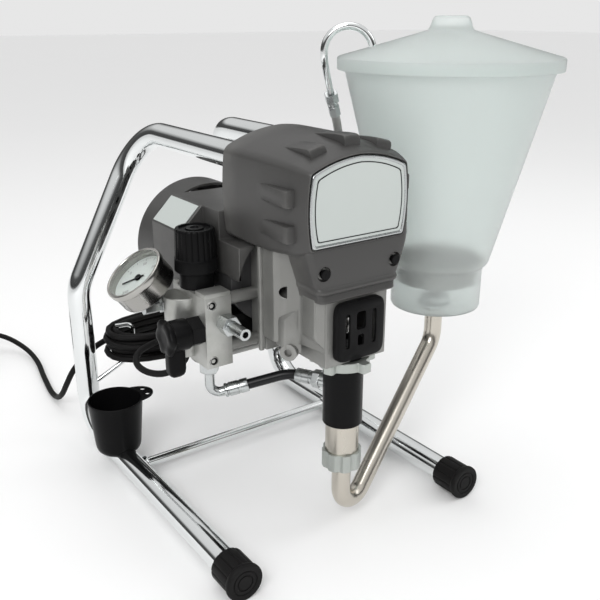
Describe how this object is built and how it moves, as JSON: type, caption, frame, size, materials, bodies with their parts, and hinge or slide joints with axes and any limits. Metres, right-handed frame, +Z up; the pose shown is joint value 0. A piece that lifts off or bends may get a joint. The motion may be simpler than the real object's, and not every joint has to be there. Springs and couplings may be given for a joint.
{
  "type": "airless paint sprayer",
  "caption": "Electric airless paint sprayer on a bent chrome tube stand, with a piston pump, gauge, prime valve, pressure knob and a translucent gravity hopper.",
  "frame": {"origin": "on the floor, under the middle of the machine's bounding box, the mains cord left out", "axes": "+X to the right of someone who faces the pump, +Y to the back, towards the motor's fan, +Z up"},
  "size_m": [0.6145, 0.8692, 0.5317],
  "materials": {
    "chrome_tube": "polished",
    "stainless": "satin",
    "zinc": "bright zinc",
    "steel": "machined",
    "dark_plastic": "fine grain",
    "black_plastic": "satin",
    "black_steel": "satin black",
    "rubber": "matt",
    "plate": "satin",
    "casting": "cast",
    "block": "machined",
    "motor_paint": "satin grey",
    "hopper_plastic": "translucent",
    "mesh": "woven",
    "dial": "matt white",
    "lens": "clear"
  },
  "bodies": {
    "machine": {"left_frame_tube": "chrome_tube", "right_frame_tube": "chrome_tube", "crossbar": "chrome_tube", "left_foot": "rubber", "right_foot": "rubber", "cord_hook": "chrome_tube", "drip_cup": "black_plastic", "drive_housing": "casting", "front_cover": "dark_plastic", "cover_plate": "plate", "cover_screws": "black_steel", "housing_screws": "black_steel", "motor_body": "motor_paint", "fan_shroud": "dark_plastic", "pump_cylinder": "black_steel", "lock_nut": "zinc", "lower_cylinder": "stainless", "inlet_nut": "zinc", "suction_pipe": "stainless", "hopper_fitting": "zinc", "hopper": "hopper_plastic", "strainer": "mesh", "return_fittings": "zinc", "return_hose": "rubber", "control_box": "dark_plastic", "control_plate": "plate", "belly_pan": "black_plastic", "manifold": "block", "manifold_screws": "black_steel", "manifold_arms": "casting", "outlet_fitting": "zinc", "hose_elbow": "zinc", "pressure_hose": "rubber", "hose_ferrules": "zinc", "pump_port": "zinc", "knob_base": "black_plastic", "prime_valve_body": "black_plastic", "gauge_stem": "zinc", "gauge_case": "chrome_tube", "gauge_dial": "dial", "gauge_lens": "lens", "cord_gland": "black_plastic", "cord_lead": "rubber", "cord_hank": "rubber", "cord_floor_run": "rubber", "cord_coil": "rubber", "mains_plug": "black_plastic"},
    "knob": {"pressure_knob": "black_plastic"},
    "prime_lever": {"prime_valve_handle": "black_plastic"},
    "needle": {"gauge_needle": "black_plastic"},
    "switch": {"power_switch": "black_plastic"},
    "rotor": {"motor_shaft": "steel", "fan": "black_plastic"},
    "idler": {"idler_gear": "steel"},
    "crank": {"crank_gear": "steel"},
    "plunger": {"connecting_rod": "steel", "piston_rod": "steel"},
    "lid": {"hopper_lid": "hopper_plastic", "return_tube": "chrome_tube"},
    "guard": {"pump_guard": "black_plastic"}
  },
  "joints": [
    {"name": "knob_turn", "type": "hinge", "parent": "machine", "child": "knob", "pos_m": [-0.15678, -0.03575, 0.3], "axis": [0, 0, 1], "range_deg": [0, 300]},
    {"name": "prime_turn", "type": "hinge", "parent": "machine", "child": "prime_lever", "pos_m": [-0.19178, -0.06475, 0.232], "axis": [-1, 0, 0], "range_deg": [0, 90]},
    {"name": "needle_turn", "type": "hinge", "parent": "machine", "child": "needle", "pos_m": [-0.21109, -0.01075, 0.28176], "axis": [0.6157, 0, -0.788], "range_deg": [0, 270]},
    {"name": "switch_rock", "type": "hinge", "parent": "machine", "child": "switch", "pos_m": [-0.13578, 0.06075, 0.315], "axis": [-1, 0, 0], "range_deg": [0, 14]},
    {"name": "motor_turn", "type": "hinge", "parent": "machine", "child": "rotor", "pos_m": [-0.07978, 0.00525, 0.274], "axis": [0, 1, 0], "continuous": true},
    {"name": "idler_turn", "type": "hinge", "parent": "machine", "child": "idler", "pos_m": [-0.04679, -0.10475, 0.27481], "axis": [0, 1, 0], "continuous": true},
    {"name": "crank_turn", "type": "hinge", "parent": "machine", "child": "crank", "pos_m": [-0.05178, -0.10475, 0.315], "axis": [0, 1, 0], "continuous": true},
    {"name": "plunger_slide", "type": "slide", "parent": "machine", "child": "plunger", "axis": [0, 0, 1], "range_m": [-0.01, 0.01]},
    {"name": "lid_lift", "type": "slide", "parent": "machine", "child": "lid", "axis": [0, 0, 1], "range_m": [0, 0.06]},
    {"name": "guard_pull", "type": "slide", "parent": "machine", "child": "guard", "axis": [0, -1, 0], "range_m": [0, 0.04]}
  ],
  "couplings": [
    {"joint": "idler_turn", "follows": "motor_turn", "ratio": -0.22222},
    {"joint": "crank_turn", "follows": "motor_turn", "ratio": 0.063492}
  ]
}
